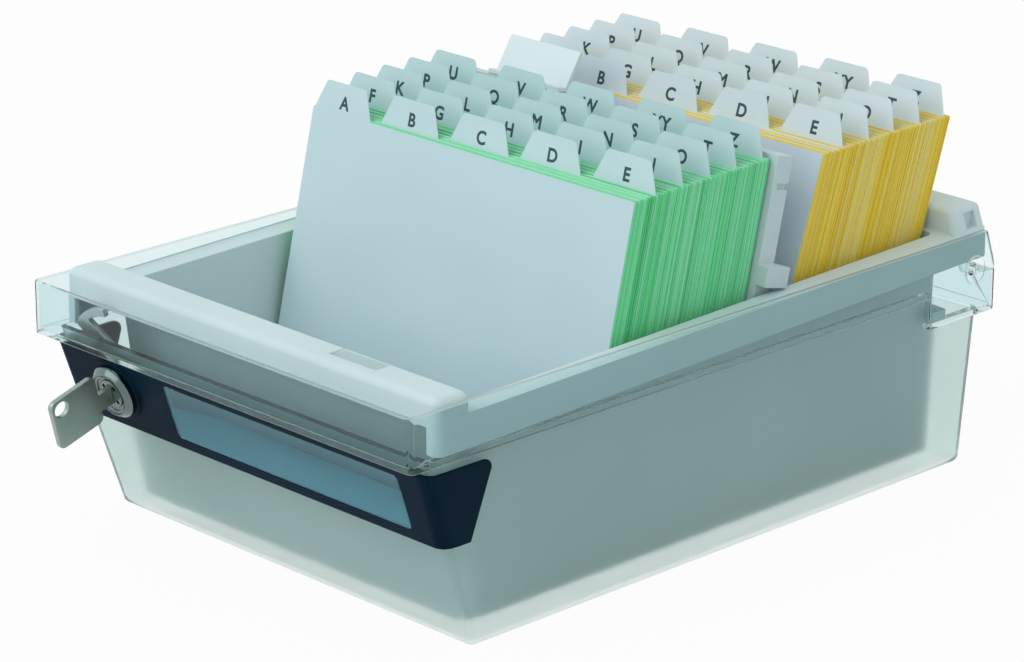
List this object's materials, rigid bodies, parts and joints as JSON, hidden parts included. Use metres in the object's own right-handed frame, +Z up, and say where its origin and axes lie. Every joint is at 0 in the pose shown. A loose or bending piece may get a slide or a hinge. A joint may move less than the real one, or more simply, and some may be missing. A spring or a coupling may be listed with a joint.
{
  "type": "card index box",
  "caption": "Card index tray for A6 cards standing in its own upturned lockable lid, with two leaning files of cards, tabbed guides and a sliding support plate.",
  "frame": {"origin": "on the table, in the middle of the flat underside that the upturned lid stands on", "axes": "+Z up, +Y towards the back, away from the lock, +X to the right seen from the lock"},
  "size_m": [0.1792, 0.2831, 0.1346],
  "materials": {
    "lid_plastic": "clear collar, frosted body",
    "bar_plastic": "satin dark navy",
    "label_paper": "plain blue-grey paper strip",
    "window_plastic": "clear",
    "lock_chrome": "polished",
    "lock_nickel": "nickel plated",
    "spring_steel": "zinc plated",
    "key_steel": "nickel plated, brushed",
    "tray_plastic": "fine moulded grain",
    "plate_plastic": "fine moulded grain",
    "tab_plastic": "satin white",
    "guide_card": "smooth stiff card",
    "green_card": "uncoated green card",
    "yellow_card": "uncoated yellow card"
  },
  "bodies": {
    "lid": {"lid_shell": "lid_plastic", "front_bar": "bar_plastic", "label_card": "label_paper", "label_window": "window_plastic", "lock_housing": "lock_chrome", "lock_clip": "spring_steel"},
    "plug": {"lock_plug": "lock_nickel", "lock_cam": "spring_steel", "cam_screw": "spring_steel"},
    "key": {"key": "key_steel"},
    "tray": {"tray": "tray_plastic"},
    "plate": {"support_plate": "plate_plastic", "name_tab": "tab_plastic"},
    "front_file": {"front_guides_1": "guide_card", "front_guides_2": "guide_card", "front_guides_3": "guide_card", "front_guides_4": "guide_card", "front_guides_5": "guide_card", "front_cards_1": "green_card", "front_cards_2": "green_card", "front_cards_3": "green_card", "front_cards_4": "green_card", "front_cards_5": "green_card"},
    "rear_file": {"rear_guides_1": "guide_card", "rear_guides_2": "guide_card", "rear_guides_3": "guide_card", "rear_guides_4": "guide_card", "rear_guides_5": "guide_card", "rear_cards_1": "yellow_card", "rear_cards_2": "yellow_card", "rear_cards_3": "yellow_card", "rear_cards_4": "yellow_card", "rear_cards_5": "yellow_card"}
  },
  "joints": [
    {"name": "tray_lift", "type": "slide", "parent": "lid", "child": "tray", "axis": [0, 0, 1], "range_m": [0, 0.085]},
    {"name": "plug_turn", "type": "hinge", "parent": "lid", "child": "plug", "pos_m": [-0.05945, -0.12999, 0.05073], "axis": [0, -0.9511, -0.309], "range_deg": [-90, 0]},
    {"name": "key_pull", "type": "slide", "parent": "plug", "child": "key", "axis": [0, -0.9511, -0.309], "range_m": [0, 0.02]},
    {"name": "plate_slide", "type": "slide", "parent": "tray", "child": "plate", "axis": [0, 1, 0], "range_m": [-0.042, 0.005]},
    {"name": "front_file_lift", "type": "slide", "parent": "plate", "child": "front_file", "axis": [0, 0.23, 0.9732], "range_m": [0, 0.12]},
    {"name": "rear_file_lift", "type": "slide", "parent": "tray", "child": "rear_file", "axis": [0, 0.3173, 0.9483], "range_m": [0, 0.12]}
  ]
}
